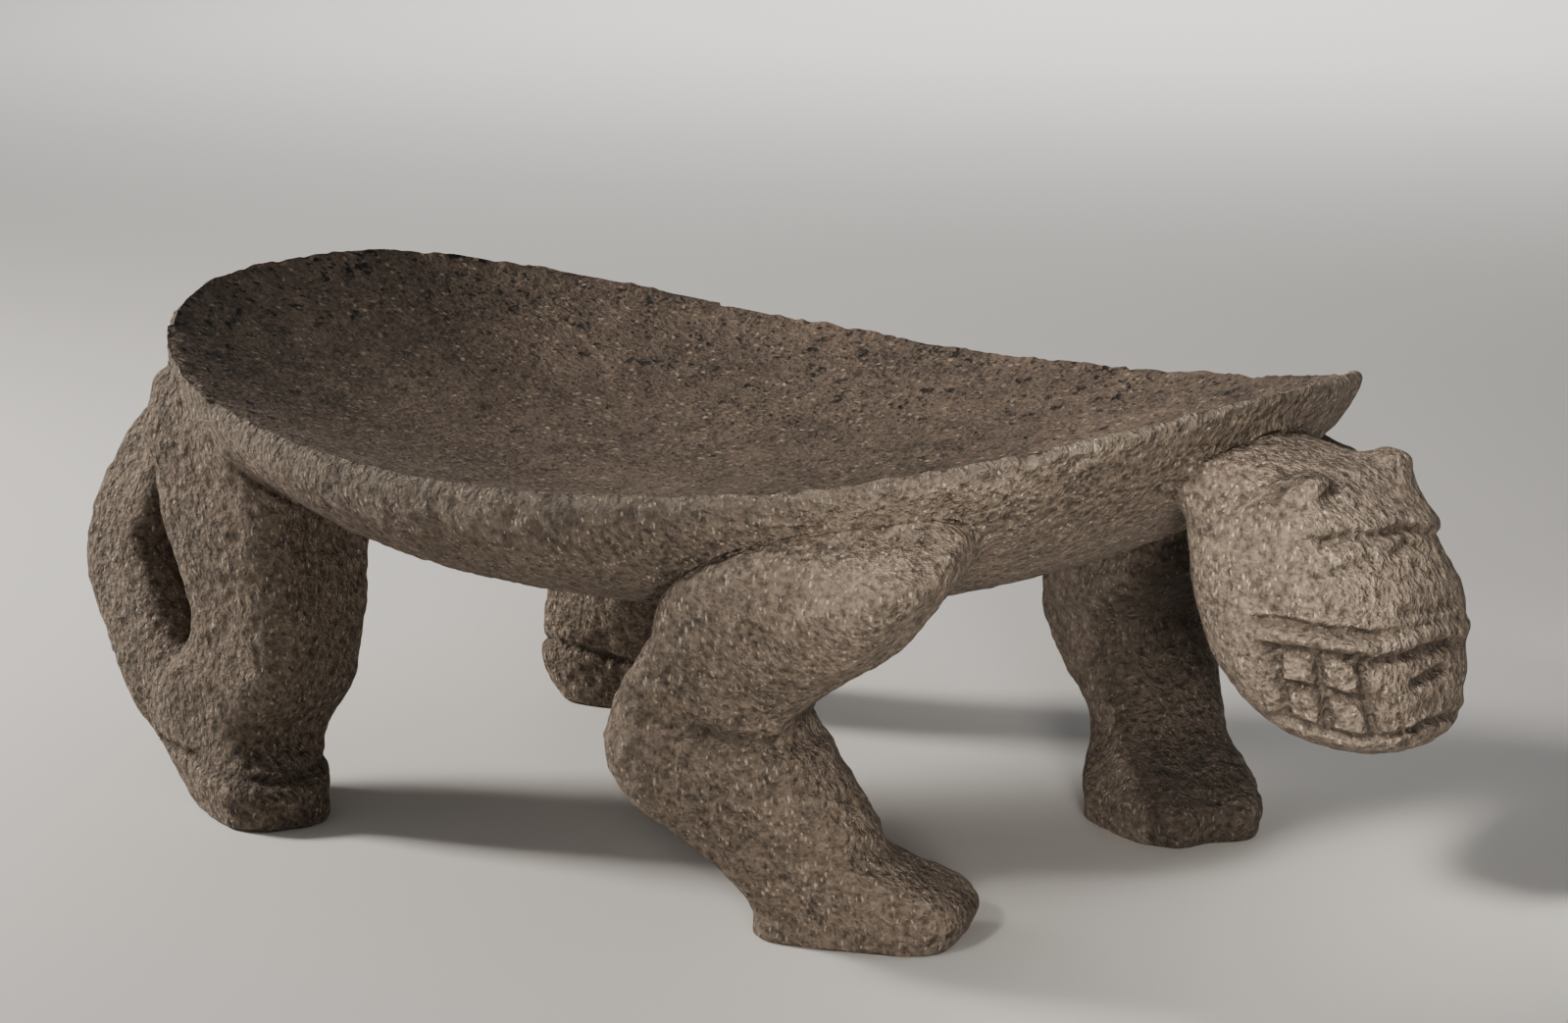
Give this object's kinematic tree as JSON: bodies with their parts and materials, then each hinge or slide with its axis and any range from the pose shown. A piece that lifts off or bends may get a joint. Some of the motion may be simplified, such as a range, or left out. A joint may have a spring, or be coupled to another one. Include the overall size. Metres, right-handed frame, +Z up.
{
  "type": "metate grinding stone",
  "caption": "Carved stone metate with a dished oval grinding plate on four bent animal legs, a big cat's head under the front lip and a looped tail.",
  "frame": {"origin": "on the floor, under the middle of the bounding box", "axes": "+X along the plate towards the head, +Y to the animal's left, +Z up"},
  "size_m": [0.7576, 0.46, 0.26],
  "materials": {
    "pecked_stone": "pecked, matt and pitted dark grey volcanic stone",
    "ground_stone": "the same stone, ground smoother and brownish in the dish"
  },
  "bodies": {
    "root": {"grinding_plate": "ground_stone", "head": "pecked_stone", "front_right_leg": "pecked_stone", "front_left_leg": "pecked_stone", "rear_right_leg": "pecked_stone", "rear_left_leg": "pecked_stone", "tail": "pecked_stone"}
  },
  "joints": []
}
